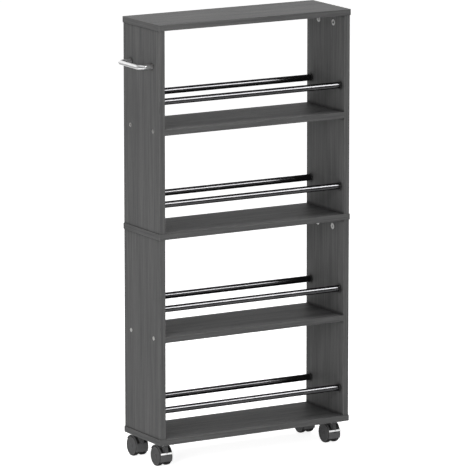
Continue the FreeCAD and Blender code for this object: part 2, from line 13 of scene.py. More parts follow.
import bpy
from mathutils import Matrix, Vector


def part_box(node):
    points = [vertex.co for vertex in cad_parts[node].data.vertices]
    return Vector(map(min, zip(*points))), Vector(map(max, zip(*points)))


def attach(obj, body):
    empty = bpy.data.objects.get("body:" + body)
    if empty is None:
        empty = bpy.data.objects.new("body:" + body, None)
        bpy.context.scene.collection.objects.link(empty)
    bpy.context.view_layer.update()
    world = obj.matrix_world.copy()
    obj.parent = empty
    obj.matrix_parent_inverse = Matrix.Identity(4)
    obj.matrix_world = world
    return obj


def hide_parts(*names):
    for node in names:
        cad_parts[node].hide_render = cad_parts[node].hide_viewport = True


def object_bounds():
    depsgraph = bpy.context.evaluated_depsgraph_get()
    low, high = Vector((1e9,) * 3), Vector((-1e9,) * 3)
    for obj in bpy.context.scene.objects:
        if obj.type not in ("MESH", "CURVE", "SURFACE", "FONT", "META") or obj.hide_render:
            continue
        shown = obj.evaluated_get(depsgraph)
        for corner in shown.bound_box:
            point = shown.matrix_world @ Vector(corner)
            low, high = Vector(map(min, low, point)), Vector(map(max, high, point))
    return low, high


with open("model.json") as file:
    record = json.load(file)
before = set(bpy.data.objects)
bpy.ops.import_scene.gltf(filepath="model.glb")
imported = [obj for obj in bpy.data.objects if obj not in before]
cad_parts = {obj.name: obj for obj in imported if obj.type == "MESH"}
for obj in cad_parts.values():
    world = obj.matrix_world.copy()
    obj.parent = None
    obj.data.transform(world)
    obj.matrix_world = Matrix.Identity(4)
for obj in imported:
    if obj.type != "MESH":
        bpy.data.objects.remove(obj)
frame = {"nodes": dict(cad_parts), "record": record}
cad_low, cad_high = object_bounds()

nodes = frame["nodes"]
print("loaded", len(nodes), "pieces; the cart is", [round(v, 4) for v in cad_high - cad_low], "m")

# %% [markdown]
# ## Where the things are
#
# Every place in this file is worked out from the boxes of the CAD pieces. The casters are the
# only sub-assemblies that repeat, so one small record for each holds its axle and its names.

# %% Casters and their axles
CASTERS = ("front_left", "front_right", "back_left", "back_right")
SIDES = ("left", "right")
WOOD_ALONG_X = ("top_board", "middle_board", "bottom_board", "upper_shelf", "lower_shelf")
WOOD_ALONG_Z = ("upper_left_panel", "upper_right_panel", "lower_left_panel", "lower_right_panel")


def middle(node):
    """The centre of a CAD piece's box."""
    low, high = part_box(node)
    return (low + high) / 2


def radius_of(node):
    """Half the height of a round CAD piece that lies along X."""
    low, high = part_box(node)
    return (high.z - low.z) / 2


axle_at = {caster: middle(caster + "_axle") for caster in CASTERS}
WHEEL_RADIUS = radius_of("front_left_left_tyre")
HUB_RADIUS = radius_of("front_left_left_hub")
print("wheel radius", round(WHEEL_RADIUS, 4), "hub radius", round(HUB_RADIUS, 4))

# %% [markdown]
# ## Building shader trees without the noise
#
# A shader tree is a list of nodes and links. Typing both out for each material hides what the
# material is about, so `node` makes one node, sets its options and fills its inputs: a socket
# is linked, and anything else becomes the input's value.

# %% A helper that makes one node
def node(tree, kind, inputs=None, **options):
    """One node of a tree, with its options set and its inputs filled or linked."""
    made = tree.nodes.new(kind)
    for key, value in options.items():
        setattr(made, key, value)
    for key, value in (inputs or {}).items():
        if isinstance(value, bpy.types.NodeSocket):
            tree.links.new(value, made.inputs[key])
        else:
            made.inputs[key].default_value = value
    return made


def math_node(tree, operation, *values, clamp=False):
    """The output of one Math node."""
    made = node(tree, "ShaderNodeMath", dict(enumerate(values)), operation=operation)
    made.use_clamp = clamp
    return made.outputs[0]


def ramp(tree, factor, stops):
    """A colour ramp's colour output; stops are (position, colour or grey level)."""
    made = node(tree, "ShaderNodeValToRGB", {"Fac": factor})
    elements = made.color_ramp.elements
    while len(elements) < len(stops):
        elements.new(0.5)
    for element, (position, tone) in zip(elements, stops):
        element.position = position
        colour = (tone,) * 3 if isinstance(tone, (int, float)) else tone
        element.color = (*colour, 1.0)
    return made.outputs["Color"]


def blend_colours(tree, factor, first, second, mode="MIX"):
    """The colour output of a Mix node."""
    made = node(tree, "ShaderNodeMix", data_type="RGBA", blend_type=mode)
    for socket, value in (("Factor_Float", factor), ("A_Color", first), ("B_Color", second)):
        target = next(s for s in made.inputs if s.identifier == socket)
        if isinstance(value, bpy.types.NodeSocket):
            tree.links.new(value, target)
        else:
            target.default_value = value
    return next(s for s in made.outputs if s.identifier == "Result_Color")


def between(tree, value, low, high, to_low=0.0, to_high=1.0):
    """A value carried from one range to another, smoothly, and held at the ends."""
    made = node(tree, "ShaderNodeMapRange", {"Value": value, "From Min": low, "From Max": high,
                                             "To Min": to_low, "To Max": to_high},
                interpolation_type="SMOOTHSTEP")
    return made.outputs["Result"]


print("shader helpers ready")

# %% [markdown]
# ## Effects that several finishes share
#
# Edge wear, which on the boards is also a painted highlight, painted shade in corners, dust,
# moulding texture and brushed or turned marks turn up on more than one material. Each is a node
# group with named sockets, built once. A group gives out only masks and heights; the shader
# itself stays in the material.

# %% A helper that opens a shader group
def shader_group(name, inputs, outputs):
    """An empty shader node group with named sockets, and its two end nodes."""
    tree = bpy.data.node_groups.new(name, "ShaderNodeTree")
    for socket, kind, value in inputs:
        made = tree.interface.new_socket(socket, in_out="INPUT", socket_type=kind)
        if value is not None:
            made.default_value = value
    for socket, kind in outputs:
        tree.interface.new_socket(socket, in_out="OUTPUT", socket_type=kind)
    return tree, tree.nodes.new("NodeGroupInput"), tree.nodes.new("NodeGroupOutput")


FLOAT = "NodeSocketFloat"
VECTOR = "NodeSocketVector"
COLOUR = "NodeSocketColor"

# %% [markdown]
# Handling polishes and chips the arrises of a part first. The Bevel node gives the normal that
# a rounded edge would have; where that differs from the flat face's own normal, there is an
# edge. A noise breaks the line up, so that it doesn't look drawn on. On the boards the same
# mask also lightens the arrises as a painted highlight, for the light that a rounded arris
# catches.

# %% The edge wear group
def build_edge_wear_and_highlight():
    tree, start, end = shader_group(
        "edge_wear_and_highlight",
        [("Vector", VECTOR, None), ("Radius", FLOAT, 0.001), ("Breakup", FLOAT, 0.5)],
        [("Mask", FLOAT)])
    rounded = node(tree, "ShaderNodeBevel", {"Radius": start.outputs["Radius"]}, samples=4)
    flat = node(tree, "ShaderNodeNewGeometry")
    facing = node(tree, "ShaderNodeVectorMath",
                  {0: rounded.outputs["Normal"], 1: flat.outputs["Normal"]},
                  operation="DOT_PRODUCT")
    edge = between(tree, facing.outputs["Value"], 0.995, 0.90)
    patches = node(tree, "ShaderNodeTexNoise",
                   {"Vector": start.outputs["Vector"], "Scale": 140.0, "Detail": 3.0})
    kept = between(tree, patches.outputs["Fac"], 0.38, 0.62)
    loss = math_node(tree, "MULTIPLY", start.outputs["Breakup"],
                     math_node(tree, "SUBTRACT", 1.0, kept))
    mask = math_node(tree, "MULTIPLY", edge, math_node(tree, "SUBTRACT", 1.0, loss))
    tree.links.new(mask, end.inputs["Mask"])
    return tree


EDGE_WEAR_AND_HIGHLIGHT = build_edge_wear_and_highlight()
print("group", EDGE_WEAR_AND_HIGHLIGHT.name)

# %% [markdown]
# Moulded plastic takes the fine spark-eroded skin of its mould, and a slow change of gloss
# where the melt cooled unevenly. Two noises far apart in scale give both.

# %% The moulding skin group
def build_moulding_skin():
    tree, start, end = shader_group(
        "moulding_skin", [("Vector", VECTOR, None), ("Grain", FLOAT, 2200.0)],
        [("Height", FLOAT), ("Gloss", FLOAT), ("Tone", FLOAT)])
    skin = node(tree, "ShaderNodeTexNoise",
                {"Vector": start.outputs["Vector"], "Scale": start.outputs["Grain"],
                 "Detail": 2.0, "Roughness": 0.6})
    slow = node(tree, "ShaderNodeTexNoise",
                {"Vector": start.outputs["Vector"], "Scale": 45.0, "Detail": 4.0})
    tree.links.new(skin.outputs["Fac"], end.inputs["Height"])
    tree.links.new(between(tree, slow.outputs["Fac"], 0.3, 0.7), end.inputs["Gloss"])
    tone = math_node(tree, "MULTIPLY_ADD", skin.outputs["Fac"], 0.5,
                     math_node(tree, "MULTIPLY", slow.outputs["Fac"], 0.5))
    tree.links.new(tone, end.inputs["Tone"])
    return tree


MOULDING_SKIN = build_moulding_skin()
print("group", MOULDING_SKIN.name)

# %% [markdown]
# Drawn tube and brushed plate carry fine lines along one way; turned pins and screw heads
# carry rings. Both are the same noise, squeezed hard across the lines: the material hands the
# group a vector whose X runs along the lines.

# %% The drawn lines group
def build_drawn_lines():
    tree, start, end = shader_group(
        "drawn_lines", [("Vector", VECTOR, None), ("Fineness", FLOAT, 1800.0)],
        [("Height", FLOAT), ("Smear", FLOAT)])
    squeezed = node(tree, "ShaderNodeVectorMath",
                    {0: start.outputs["Vector"], 1: (0.03, 1.0, 1.0)}, operation="MULTIPLY")
    lines = node(tree, "ShaderNodeTexNoise",
                 {"Vector": squeezed.outputs["Vector"], "Scale": start.outputs["Fineness"],
                  "Detail": 3.0, "Roughness": 0.7})
    smear = node(tree, "ShaderNodeTexNoise",
                 {"Vector": start.outputs["Vector"], "Scale": 28.0, "Detail": 5.0})
    tree.links.new(lines.outputs["Fac"], end.inputs["Height"])
    tree.links.new(between(tree, smear.outputs["Fac"], 0.35, 0.7), end.inputs["Smear"])
    return tree


DRAWN_LINES = build_drawn_lines()
print("group", DRAWN_LINES.name)

# %% [markdown]
# Dust settles on faces that look up and stays where nothing wipes it. The mask is the upward
# part of the normal times a patchy noise.

# %% The dust group
def build_dust():
    tree, start, end = shader_group(
        "dust", [("Vector", VECTOR, None), ("Normal", VECTOR, None), ("Amount", FLOAT, 0.3)],
        [("Mask", FLOAT)])
    split = node(tree, "ShaderNodeSeparateXYZ", {"Vector": start.outputs["Normal"]})
    upward = between(tree, split.outputs["Z"], 0.2, 0.95)
    patches = node(tree, "ShaderNodeTexNoise",
                   {"Vector": start.outputs["Vector"], "Scale": 90.0, "Detail": 6.0,
                    "Roughness": 0.7})
    patchy = between(tree, patches.outputs["Fac"], 0.35, 0.75)
    mask = math_node(tree, "MULTIPLY", math_node(tree, "MULTIPLY", upward, patchy),
                     start.outputs["Amount"])
    tree.links.new(mask, end.inputs["Mask"])
    return tree


DUST = build_dust()
print("group", DUST.name)

# %% [markdown]
# Painted shade: where two boards meet, the colour is darkened as if by the shade in the corner.
# Ambient occlusion over a few millimetres finds those corners, and a noise keeps the line from
# being even.

# %% The corner shade group
def build_corner_shade():
    tree, start, end = shader_group(
        "corner_shade", [("Vector", VECTOR, None), ("Reach", FLOAT, 0.006)], [("Mask", FLOAT)])
    open_sky = node(tree, "ShaderNodeAmbientOcclusion", {"Distance": start.outputs["Reach"]},
                    samples=8)
    shut = math_node(tree, "SUBTRACT", 1.0, open_sky.outputs["AO"], clamp=True)
    patches = node(tree, "ShaderNodeTexNoise",
                   {"Vector": start.outputs["Vector"], "Scale": 60.0, "Detail": 3.0})
    uneven = between(tree, patches.outputs["Fac"], 0.3, 0.7, 0.75, 1.0)
    deep = between(tree, shut, 0.03, 0.26)
    tree.links.new(math_node(tree, "MULTIPLY", deep, uneven), end.inputs["Mask"])
    return tree


CORNER_SHADE = build_corner_shade()
print("group", CORNER_SHADE.name)

# %% [markdown]
# The moulds of round parts are turned on a lathe, and the part carries the tool's rings. The
# group measures the distance from a centre line along X and turns it into faint ripples.

# %% The turned rings group
def build_turned_rings():
    tree, start, end = shader_group(
        "turned_rings", [("Vector", VECTOR, None), ("Centre", VECTOR, None),
                         ("Rings per Metre", FLOAT, 1400.0)], [("Height", FLOAT)])
    offset = node(tree, "ShaderNodeVectorMath",
                  {0: start.outputs["Vector"], 1: start.outputs["Centre"]}, operation="SUBTRACT")
    in_plane = node(tree, "ShaderNodeVectorMath",
                    {0: offset.outputs["Vector"], 1: (0.0, 1.0, 1.0)}, operation="MULTIPLY")
    radius = node(tree, "ShaderNodeVectorMath", {0: in_plane.outputs["Vector"]},
                  operation="LENGTH").outputs["Value"]
    phase = math_node(tree, "MULTIPLY", math_node(tree, "MULTIPLY", radius, 2 * math.pi),
                      start.outputs["Rings per Metre"])
    ripple = math_node(tree, "MULTIPLY_ADD", math_node(tree, "SINE", phase), 0.5, 0.5)
    patches = node(tree, "ShaderNodeTexNoise",
                   {"Vector": start.outputs["Vector"], "Scale": 110.0, "Detail": 2.0})
    height = math_node(tree, "MULTIPLY", ripple, patches.outputs["Fac"])
    tree.links.new(height, end.inputs["Height"])
    return tree


TURNED_RINGS = build_turned_rings()
print("group", TURNED_RINGS.name)

# %% [markdown]
# ## The foil on the boards
#
# The carcass is particle board in a printed foil: a dark grey oak with long soft streaks, fine
# dark pores along the grain and a slow change of tone. The group draws the grain along its
# own X. The streaks are a noise squeezed across the grain; the pores are a much finer one of
# which only the darkest part is kept.

# %% The foil group
def build_foil():
    tree, start, end = shader_group(
        "grey_oak_foil",
        [("Vector", VECTOR, None), ("Dark", COLOUR, (0.046, 0.046, 0.047, 1.0)),
         ("Light", COLOUR, (0.083, 0.083, 0.082, 1.0))],
        [("Color", COLOUR), ("Roughness", FLOAT), ("Height", FLOAT)])

    def squeezed(along, across):
        return node(tree, "ShaderNodeVectorMath",
                    {0: start.outputs["Vector"], 1: (along, across, across)},
                    operation="MULTIPLY").outputs["Vector"]

    def noise(vector, detail, roughness, distortion=0.0):
        return node(tree, "ShaderNodeTexNoise",
                    {"Vector": vector, "Scale": 1.0, "Detail": detail, "Roughness": roughness,
                     "Distortion": distortion}).outputs["Fac"]

    streaks = noise(squeezed(5.0, 330.0), 5.0, 0.62, 0.2)
    bands = noise(squeezed(2.2, 60.0), 4.0, 0.55, 0.5)
    pores = noise(squeezed(40.0, 1500.0), 2.0, 0.5)
    pore_mask = between(tree, pores, 0.42, 0.32)
    mixed = math_node(tree, "MULTIPLY_ADD", streaks, 0.7,
                      math_node(tree, "MULTIPLY", bands, 0.3))
    tone = between(tree, mixed, 0.30, 0.70)
    print_colour = blend_colours(tree, tone, start.outputs["Dark"], start.outputs["Light"])
    colour = blend_colours(tree, math_node(tree, "MULTIPLY", pore_mask, 0.45), print_colour,
                           start.outputs["Dark"])
    rough = math_node(tree, "MULTIPLY_ADD", tone, -0.07,
                      math_node(tree, "MULTIPLY_ADD", pore_mask, 0.12, 0.62))
    height = math_node(tree, "SUBTRACT", math_node(tree, "MULTIPLY", streaks, 0.35), pore_mask)
    tree.links.new(colour, end.inputs["Color"])
    tree.links.new(rough, end.inputs["Roughness"])
    tree.links.new(height, end.inputs["Height"])
    return tree


FOIL = build_foil()
print("group", FOIL.name)

# %% [markdown]
# A material is opened the same way each time: a Principled shader, its all-over values set on
# its own sockets, and the object's coordinates at hand.

# %% A helper that opens a material
def open_material(name, **values):
    """A new material, its tree, its Principled shader and its coordinates node."""
    made = bpy.data.materials.new(name)
    made.use_nodes = True
    tree = made.node_tree
    shader = tree.nodes["Principled BSDF"]
    for key, value in values.items():
        shader.inputs[key.replace("_", " ")].default_value = value
    return made, tree, shader, tree.nodes.new("ShaderNodeTexCoord")


def raise_surface(tree, shader, height, strength, distance):
    """A Bump node that feeds the shader's normal."""
    bump = node(tree, "ShaderNodeBump",
                {"Height": height, "Strength": strength, "Distance": distance})
    tree.links.new(bump.outputs["Normal"], shader.inputs["Normal"])


def use_group(tree, group, **inputs):
    """A group placed in a tree."""
    named = {key.replace("_", " "): value for key, value in inputs.items()}
    made = node(tree, "ShaderNodeGroup", node_tree=group)
    for key, value in named.items():
        if isinstance(value, bpy.types.NodeSocket):
            tree.links.new(value, made.inputs[key])
        else:
            made.inputs[key].default_value = value
    return made


def paint(piece, material):
    """Give a CAD piece this material and no other."""
    piece.data.materials.clear()
    piece.data.materials.append(material)


print("material helpers ready")

# %% [markdown]
# ## Nine boards, nine pieces of foil
#
# No two boards are cut from the same stretch of foil, so each gets its own material with its
# own offset. On the boards the grain runs along X, on the panels along Z, and the edge band
# glued to an end runs along that end. The object-space normal tells which face a point is on.

# %% Board foil materials
ARRIS_RADIUS = 0.0009
# Painted highlight and wear: the arrises are lightened, partly as worn foil and partly as the
# light a rounded arris catches.
ARRIS_WEAR_AND_HIGHLIGHT = (0.17, 0.17, 0.168, 1.0)
CORNER_REACH = 0.009
# Painted shade: the dark colour laid into the corners where boards meet.
CORNER_PAINTED_SHADE = (0.020, 0.020, 0.020, 1.0)


def board_foil(name, upright, offset):
    made, tree, shader, place = open_material("foil_" + name, Specular_IOR_Level=0.14)
    split = node(tree, "ShaderNodeSeparateXYZ", {"Vector": place.outputs["Object"]})
    x, y, z = (split.outputs[axis] for axis in "XYZ")
    facing = node(tree, "ShaderNodeSeparateXYZ", {"Vector": place.outputs["Normal"]})
    if upright:
        along = node(tree, "ShaderNodeCombineXYZ", {"X": z, "Y": y, "Z": x}).outputs["Vector"]
    else:
        on_end = math_node(tree, "GREATER_THAN",
                           math_node(tree, "ABSOLUTE", facing.outputs["X"]), 0.7)
        face_vector = node(tree, "ShaderNodeCombineXYZ", {"X": x, "Y": y, "Z": z})
        end_vector = node(tree, "ShaderNodeCombineXYZ", {"X": y, "Y": z, "Z": x})
        along = node(tree, "ShaderNodeMix",
                     {"Factor": on_end, 4: face_vector.outputs["Vector"],
                      5: end_vector.outputs["Vector"]}, data_type="VECTOR").outputs[1]
    shifted = node(tree, "ShaderNodeMapping", {"Vector": along, "Location": offset})
    foil = use_group(tree, FOIL, Vector=shifted.outputs["Vector"])
    # Painted highlight and wear: lighten the arrises, partly for wear and partly for the light
    # they catch.
    wear = use_group(tree, EDGE_WEAR_AND_HIGHLIGHT, Vector=place.outputs["Object"], Radius=ARRIS_RADIUS,
                     Breakup=0.5)
    worn_and_highlit = blend_colours(tree, math_node(tree, "MULTIPLY", wear.outputs["Mask"], 0.45),
                         foil.outputs["Color"], ARRIS_WEAR_AND_HIGHLIGHT)
    # Painted shade: the corners where boards meet are darkened in the colour.
    shade = use_group(tree, CORNER_SHADE, Vector=place.outputs["Object"], Reach=CORNER_REACH)
    colour = blend_colours(tree, math_node(tree, "MULTIPLY", shade.outputs["Mask"], 0.85), worn_and_highlit,
                           CORNER_PAINTED_SHADE)
    tree.links.new(colour, shader.inputs["Base Color"])
    tree.links.new(foil.outputs["Roughness"], shader.inputs["Roughness"])
    raise_surface(tree, shader, foil.outputs["Height"], 0.25, 0.0003)
    return made


for index, name in enumerate(WOOD_ALONG_X + WOOD_ALONG_Z):
    offset = (0.37 * index, 0.211 * index, 0.13 * index)
    paint(nodes[name], board_foil(name, name in WOOD_ALONG_Z, offset))
print("foil on", len(WOOD_ALONG_X + WOOD_ALONG_Z), "boards")

# %% [markdown]
# ## Metal finishes
#
# The rails are thin steel tube with a glossy black-nickel plate: almost black head on, with a
# hard highlight, and only faint drawing lines. The handle is satin nickel: bright, with soft
# brushed lines that blur its reflections. Screws are zinc plated with faint marks, and the cam
# locks are rough die-cast zinc.

# %% Rail and handle metal
def black_nickel():
    made, tree, shader, place = open_material(
        "black_nickel", Metallic=1.0, Specular_Tint=(0.35, 0.35, 0.36, 1.0))
    lines = use_group(tree, DRAWN_LINES, Vector=place.outputs["Object"], Fineness=1500.0)
    tone = ramp(tree, lines.outputs["Smear"], [(0.0, (0.074, 0.074, 0.077)),
                                               (1.0, (0.096, 0.095, 0.098))])
    tree.links.new(tone, shader.inputs["Base Color"])
    rough = between(tree, lines.outputs["Smear"], 0.0, 1.0, 0.16, 0.24)
    tree.links.new(rough, shader.inputs["Roughness"])
    raise_surface(tree, shader, lines.outputs["Height"], 0.04, 0.0001)
    return made


def satin_nickel():
    made, tree, shader, place = open_material("satin_nickel", Metallic=0.98)
    turned = node(tree, "ShaderNodeMapping",
                  {"Vector": place.outputs["Object"], "Rotation": (0.0, 0.0, math.radians(90))})
    lines = use_group(tree, DRAWN_LINES, Vector=turned.outputs["Vector"], Fineness=2600.0)
    tone = ramp(tree, lines.outputs["Smear"], [(0.0, (0.84, 0.84, 0.84)),
                                               (1.0, (0.92, 0.92, 0.92))])
    tree.links.new(tone, shader.inputs["Base Color"])
    rough = between(tree, lines.outputs["Smear"], 0.0, 1.0, 0.32, 0.40)
    tree.links.new(rough, shader.inputs["Roughness"])
    raise_surface(tree, shader, lines.outputs["Height"], 0.12, 0.0001)
    return made


BLACK_NICKEL = black_nickel()
SATIN_NICKEL = satin_nickel()
print("made", BLACK_NICKEL.name, "and", SATIN_NICKEL.name)

# %% [markdown]
# The screws, cams, plates and pins differ only in tone, gloss and how fine their marks are, so
# one recipe makes them all: a mottled plate, faint marks, and edges rubbed bright by the tool.

# %% Fastener and pin metal
def plated(name, tone_low, tone_high, rough_low, rough_high, fineness):
    """A plated steel with mottled tone, fine marks and bright worn edges."""
    made, tree, shader, place = open_material(name, Metallic=1.0)
    lines = use_group(tree, DRAWN_LINES, Vector=place.outputs["Object"], Fineness=fineness)
    wear = use_group(tree, EDGE_WEAR_AND_HIGHLIGHT, Vector=place.outputs["Object"], Radius=0.0003, Breakup=0.4)
    mottle = node(tree, "ShaderNodeTexNoise",
                  {"Vector": place.outputs["Object"], "Scale": 420.0, "Detail": 4.0})
    tone = ramp(tree, mottle.outputs["Fac"], [(0.3, tone_low), (0.7, tone_high)])
    bright = tuple(min(1.0, channel * 1.25) for channel in tone_high)
    colour = blend_colours(tree, wear.outputs["Mask"], tone, (*bright, 1.0))
    tree.links.new(colour, shader.inputs["Base Color"])
    rough = between(tree, lines.outputs["Smear"], 0.0, 1.0, rough_low, rough_high)
    tree.links.new(rough, shader.inputs["Roughness"])
    raise_surface(tree, shader, lines.outputs["Height"], 0.15, 0.0001)
    return made


SCREW_NICKEL = plated("screw_nickel", (0.66, 0.65, 0.63), (0.78, 0.77, 0.75), 0.22, 0.34, 2400.0)
SCREW_ZINC = plated("screw_zinc", (0.55, 0.56, 0.57), (0.68, 0.69, 0.70), 0.28, 0.42, 2400.0)
CAM_CASTING = plated("cam_casting", (0.58, 0.58, 0.58), (0.74, 0.74, 0.73), 0.38, 0.55, 900.0)
PLATE_ZINC = plated("plate_zinc", (0.42, 0.43, 0.45), (0.58, 0.59, 0.60), 0.30, 0.46, 700.0)
PIN_STEEL = plated("pin_steel", (0.50, 0.50, 0.50), (0.62, 0.62, 0.61), 0.24, 0.36, 3000.0)
print("made 5 plated metals")

# %% [markdown]
# ## Plastics, rubber and beech
#
# The caster bodies and hubs are moulded nylon, the tyres soft rubber that picks up dust, and
# the pedals a light grey moulding. Each hub needs its own material, because the rings of its
# mould run round its own axle. The dowels are beech, and can't be seen once the cart is built.

# %% Plastic, rubber and beech materials
DUST_COLOUR = (0.33, 0.32, 0.30, 1.0)


def moulded(name, dark, light, edge, rough_low, rough_high, dust=0.0, rings_about=None):
    """A moulded plastic or rubber: mould skin, uneven gloss, scuffed edges and some dust."""
    made, tree, shader, place = open_material(name, Specular_IOR_Level=0.3)
    skin = use_group(tree, MOULDING_SKIN, Vector=place.outputs["Object"], Grain=2200.0)
    wear = use_group(tree, EDGE_WEAR_AND_HIGHLIGHT, Vector=place.outputs["Object"], Radius=0.0006, Breakup=0.7)
    tone = ramp(tree, skin.outputs["Tone"], [(0.35, dark), (0.65, light)])
    scuffed = blend_colours(tree, math_node(tree, "MULTIPLY", wear.outputs["Mask"], 0.6), tone,
                            (*edge, 1.0))
    settled = use_group(tree, DUST, Vector=place.outputs["Object"],
                        Normal=place.outputs["Normal"], Amount=dust)
    colour = blend_colours(tree, settled.outputs["Mask"], scuffed, DUST_COLOUR)
    tree.links.new(colour, shader.inputs["Base Color"])
    rough = between(tree, skin.outputs["Gloss"], 0.0, 1.0, rough_low, rough_high)
    tree.links.new(rough, shader.inputs["Roughness"])
    height = skin.outputs["Height"]
    if rings_about is not None:
        rings = use_group(tree, TURNED_RINGS, Vector=place.outputs["Object"],
                          Centre=tuple(rings_about), Rings_per_Metre=1400.0)
        height = math_node(tree, "MULTIPLY_ADD", rings.outputs["Height"], 0.6, height)
    raise_surface(tree, shader, height, 0.2, 0.00008)
    return made


def beech():
    made, tree, shader, place = open_material("beech", Roughness=0.6)
    grain = node(tree, "ShaderNodeTexNoise",
                 {"Vector": place.outputs["Object"], "Scale": 700.0, "Detail": 3.0})
    tone = ramp(tree, grain.outputs["Fac"], [(0.3, (0.50, 0.33, 0.18)), (0.7, (0.66, 0.47, 0.29))])
    tree.links.new(tone, shader.inputs["Base Color"])
    raise_surface(tree, shader, grain.outputs["Fac"], 0.3, 0.0001)
    return made


CASTER_NYLON = moulded("caster_nylon", (0.050, 0.050, 0.051), (0.068, 0.068, 0.069),
                       (0.12, 0.12, 0.12), 0.34, 0.48, dust=0.06)
HUB_NYLON = {caster: moulded("hub_nylon_" + caster, (0.036, 0.036, 0.037),
                             (0.050, 0.050, 0.051), (0.14, 0.14, 0.14), 0.40, 0.52, dust=0.03,
                             rings_about=axle_at[caster])
             for caster in CASTERS}
TYRE_RUBBER = moulded("tyre_rubber", (0.008, 0.008, 0.008), (0.015, 0.015, 0.015),
                      (0.05, 0.05, 0.05), 0.60, 0.80, dust=0.10)
PEDAL_PLASTIC = moulded("pedal_plastic", (0.72, 0.72, 0.72), (0.84, 0.84, 0.84),
                        (0.92, 0.92, 0.92), 0.30, 0.42)
SOCKET_PLASTIC = moulded("socket_plastic", (0.014, 0.014, 0.014), (0.024, 0.024, 0.024),
                         (0.08, 0.08, 0.08), 0.40, 0.55)
BEECH = beech()
print("made", 4 + len(HUB_NYLON), "mouldings and", BEECH.name)

# %% [markdown]
# With the finishes made, each CAD piece takes the one that its record slot names.

# %% Hand the finishes out
FINISHES = {"rail_tube": BLACK_NICKEL, "handle_nickel": SATIN_NICKEL,
            "screw_nickel": SCREW_NICKEL, "screw_zinc": SCREW_ZINC, "cam_zinc": CAM_CASTING,
            "plate_steel": PLATE_ZINC, "steel_pin": PIN_STEEL, "caster_plastic": CASTER_NYLON,
            "tyre_rubber": TYRE_RUBBER, "pedal_plastic": PEDAL_PLASTIC,
            "socket_plastic": SOCKET_PLASTIC, "dowel_beech": BEECH}
slot_of = {part["node"]: part["material_slot"] for part in frame["record"]["subparts"]}
given = 0
for name, piece in nodes.items():
    if slot_of[name] in FINISHES:
        paint(piece, FINISHES[slot_of[name]])
        given += 1
for caster in CASTERS:
    for side in SIDES:
        paint(nodes[f"{caster}_{side}_hub"], HUB_NYLON[caster])
print("finishes on", given, "more pieces")

# %% [markdown]
# ## Growing pieces with Geometry Nodes
#
# Tyres, ball races and ribs all follow a rule, so each is a Geometry Nodes tree with its sizes
# as inputs. `geo_tree` opens such a tree, and `grow` runs it once on an empty mesh, keeps the
# result as a plain mesh and hands it to a CAD body to ride on.

# %% Helpers for Geometry Nodes
MATERIAL = "NodeSocketMaterial"
INTEGER = "NodeSocketInt"


def geo_tree(name, inputs):
    """An empty Geometry Nodes tree with named inputs, and its two end nodes."""
    tree = bpy.data.node_groups.new(name, "GeometryNodeTree")
    for socket, kind in inputs:
        tree.interface.new_socket(socket, in_out="INPUT", socket_type=kind)
    tree.interface.new_socket("Geometry", in_out="OUTPUT", socket_type="NodeSocketGeometry")
    return tree, tree.nodes.new("NodeGroupInput"), tree.nodes.new("NodeGroupOutput")


def finish_tree(tree, geometry, start, end):
    """Smooth the faces, make instances real, give them the material, and send them out."""
    real = node(tree, "GeometryNodeRealizeInstances", {"Geometry": geometry})
    smooth = node(tree, "GeometryNodeSetShadeSmooth", {"Geometry": real.outputs["Geometry"]})
    painted = node(tree, "GeometryNodeSetMaterial", {"Geometry": smooth.outputs["Geometry"],
                                                     "Material": start.outputs["Material"]})
    tree.links.new(painted.outputs["Geometry"], end.inputs["Geometry"])


def grow(name, tree, values):
    """Run a tree once with these input values and return its result as a plain mesh object."""
    piece = bpy.data.objects.new(name, bpy.data.meshes.new(name))
    bpy.context.scene.collection.objects.link(piece)
    modifier = piece.modifiers.new("grow", "NODES")
    modifier.node_group = tree
    for item in tree.interface.items_tree:
        if item.item_type == "SOCKET" and item.in_out == "INPUT":
            modifier[item.identifier] = values[item.name]
    evaluated = piece.evaluated_get(bpy.context.evaluated_depsgraph_get())
    mesh = bpy.data.meshes.new_from_object(evaluated)
    piece.modifiers.remove(modifier)
    piece.data = mesh
    return piece


print("geometry helpers ready")

# %% [markdown]
# ## Grooved tyres
#
# A furniture caster's tyre is a thin rubber band moulded round the wheel's core, with a slightly
# crowned tread and two fine grooves. Its section turns about the axle, so the tree bends a flat
# grid by formula: U goes round the axle, V round the section. The hyperbolic tangent of a
# circle gives a flat section with soft corners and even points along the tread, where the
# grooves need them.

# %% The tyre tree
SQUARENESS = 2.2      # how flat the sides of the section are; 0 would leave it round


